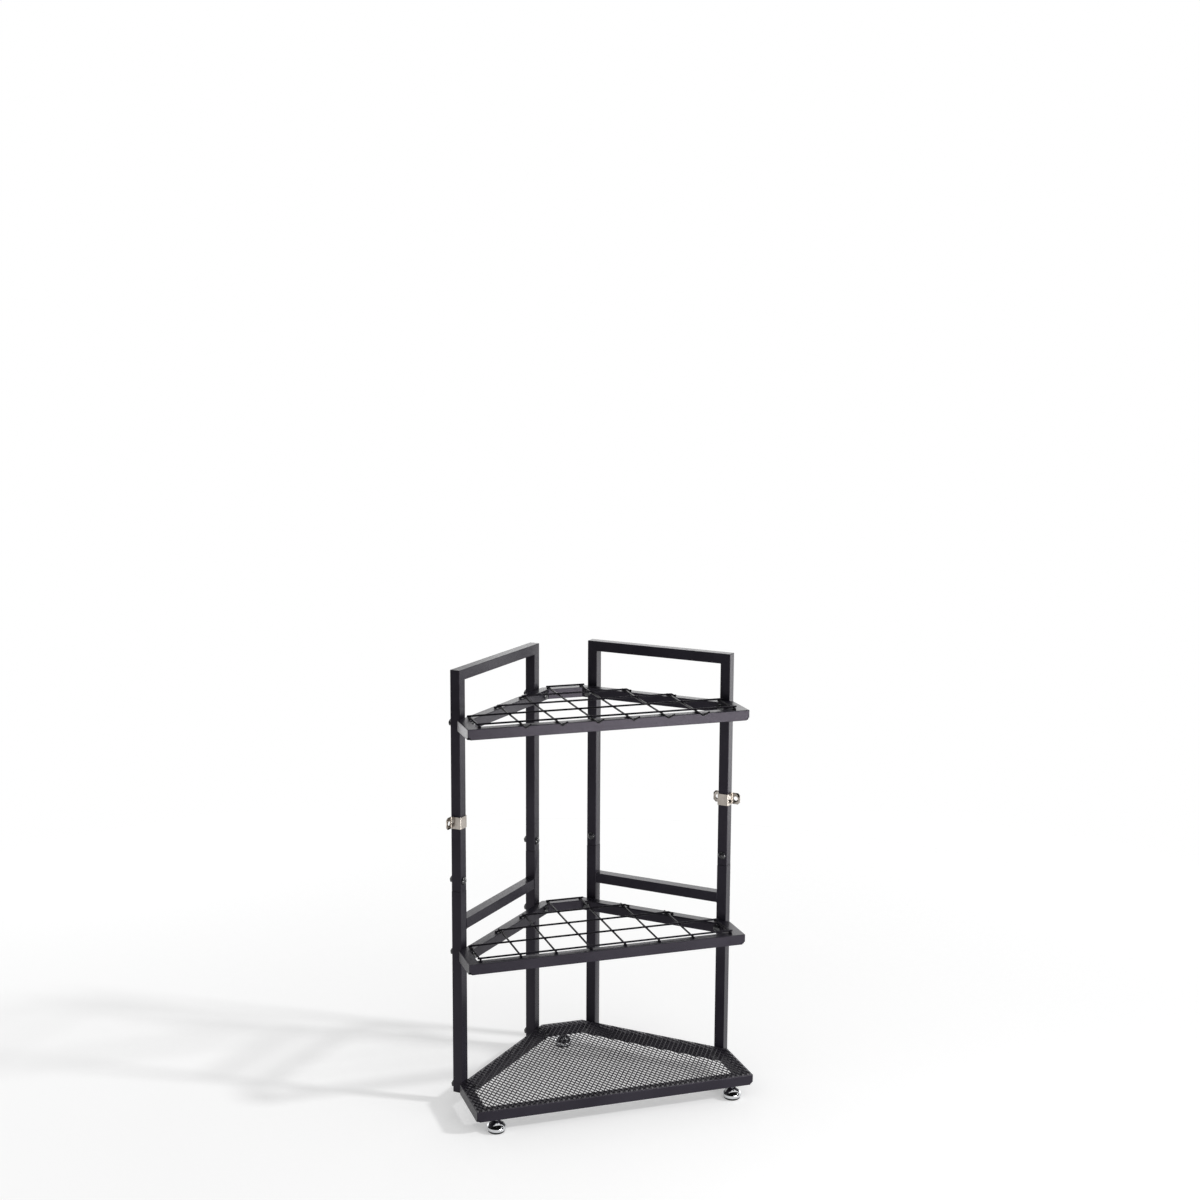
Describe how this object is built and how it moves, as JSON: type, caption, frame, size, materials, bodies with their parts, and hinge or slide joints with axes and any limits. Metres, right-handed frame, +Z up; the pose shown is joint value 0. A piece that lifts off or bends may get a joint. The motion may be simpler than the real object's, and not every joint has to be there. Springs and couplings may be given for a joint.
{
  "type": "freestanding garden tool rack",
  "caption": "Corner rack for long garden tools: square tube frames, meshed base, wire shelves that keep the handles apart, a row of wire hooks, bun feet and wall clips.",
  "frame": {"origin": "on the floor, at the middle of the bounding box in plan", "axes": "+X to the right along the straight front, +Y from the front towards the room corner behind the rack, +Z up"},
  "size_m": [0.6454, 0.4124, 0.925],
  "materials": {
    "frame_coat": "satin black powder coat on steel tube, fine orange peel",
    "mesh_coat": "satin black powder coat on expanded metal",
    "wire_coat": "satin black powder coat on steel wire",
    "joiner_steel": "plain zinc-plated tube, hidden inside the legs",
    "bolt_steel": "glossy black plated steel",
    "nut_steel": "black plated steel",
    "foot_chrome": "polished chrome",
    "sole_rubber": "matt black rubber",
    "plug_plastic": "moulded black plastic",
    "clip_nickel": "bright nickel-plated strip"
  },
  "bodies": {
    "rack": {"base_frame": "frame_coat", "middle_shelf_frame": "frame_coat", "top_shelf_frame": "frame_coat", "left_lower_frame": "frame_coat", "left_upper_frame": "frame_coat", "right_lower_frame": "frame_coat", "right_upper_frame": "frame_coat", "base_mesh": "mesh_coat", "middle_shelf_grid": "wire_coat", "top_shelf_grid": "wire_coat", "joiner_left_front": "joiner_steel", "plug_left_front": "plug_plastic", "joint_bolt_left_front": "bolt_steel", "joint_nut_left_front": "nut_steel", "base_bolt_left_front": "bolt_steel", "base_nut_left_front": "nut_steel", "middle_bolt_left_front": "bolt_steel", "middle_nut_left_front": "nut_steel", "top_bolt_left_front": "bolt_steel", "top_nut_left_front": "nut_steel", "joiner_left_back": "joiner_steel", "plug_left_back": "plug_plastic", "joint_bolt_left_back": "bolt_steel", "joint_nut_left_back": "nut_steel", "base_bolt_left_back": "bolt_steel", "base_nut_left_back": "nut_steel", "middle_bolt_left_back": "bolt_steel", "middle_nut_left_back": "nut_steel", "top_bolt_left_back": "bolt_steel", "top_nut_left_back": "nut_steel", "joiner_right_front": "joiner_steel", "plug_right_front": "plug_plastic", "joint_bolt_right_front": "bolt_steel", "joint_nut_right_front": "nut_steel", "base_bolt_right_front": "bolt_steel", "base_nut_right_front": "nut_steel", "middle_bolt_right_front": "bolt_steel", "middle_nut_right_front": "nut_steel", "top_bolt_right_front": "bolt_steel", "top_nut_right_front": "nut_steel", "joiner_right_back": "joiner_steel", "plug_right_back": "plug_plastic", "joint_bolt_right_back": "bolt_steel", "joint_nut_right_back": "nut_steel", "base_bolt_right_back": "bolt_steel", "base_nut_right_back": "nut_steel", "middle_bolt_right_back": "bolt_steel", "middle_nut_right_back": "nut_steel", "top_bolt_right_back": "bolt_steel", "top_nut_right_back": "nut_steel"},
    "sole_carrier_front_left": {"sole_front_left": "sole_rubber"},
    "foot_body_front_left": {"foot_front_left": "foot_chrome"},
    "sole_carrier_front_right": {"sole_front_right": "sole_rubber"},
    "foot_body_front_right": {"foot_front_right": "foot_chrome"},
    "sole_carrier_rear": {"sole_rear": "sole_rubber"},
    "foot_body_rear": {"foot_rear": "foot_chrome"},
    "clip_left": {"wall_clip_left": "clip_nickel"},
    "clip_right": {"wall_clip_right": "clip_nickel"}
  },
  "joints": [
    {"name": "foot_lift_front_left", "type": "slide", "parent": "rack", "child": "sole_carrier_front_left", "axis": [0, 0, 1], "range_m": [-0.008, 0.002]},
    {"name": "foot_turn_front_left", "type": "hinge", "parent": "sole_carrier_front_left", "child": "foot_body_front_left", "pos_m": [-0.257, -0.18611, 0.01], "axis": [0, 0, 1], "range_deg": [-2300, 575]},
    {"name": "foot_lift_front_right", "type": "slide", "parent": "rack", "child": "sole_carrier_front_right", "axis": [0, 0, 1], "range_m": [-0.008, 0.002]},
    {"name": "foot_turn_front_right", "type": "hinge", "parent": "sole_carrier_front_right", "child": "foot_body_front_right", "pos_m": [0.257, -0.18611, 0.01], "axis": [0, 0, 1], "range_deg": [-2300, 575]},
    {"name": "foot_lift_rear", "type": "slide", "parent": "rack", "child": "sole_carrier_rear", "axis": [0, 0, 1], "range_m": [-0.008, 0.002]},
    {"name": "foot_turn_rear", "type": "hinge", "parent": "sole_carrier_rear", "child": "foot_body_rear", "pos_m": [0, 0.18489, 0.01], "axis": [0, 0, 1], "range_deg": [-2300, 575]},
    {"name": "wall_clip_slide_left", "type": "slide", "parent": "rack", "child": "clip_left", "axis": [0, 0, 1], "range_m": [-0.1, 0.18]},
    {"name": "wall_clip_slide_right", "type": "slide", "parent": "rack", "child": "clip_right", "axis": [0, 0, 1], "range_m": [-0.1, 0.18]}
  ],
  "couplings": [
    {"joint": "foot_lift_front_left", "follows": "foot_turn_front_left", "m_per_rad": 0.00019894},
    {"joint": "foot_lift_front_right", "follows": "foot_turn_front_right", "m_per_rad": 0.00019894},
    {"joint": "foot_lift_rear", "follows": "foot_turn_rear", "m_per_rad": 0.00019894}
  ]
}
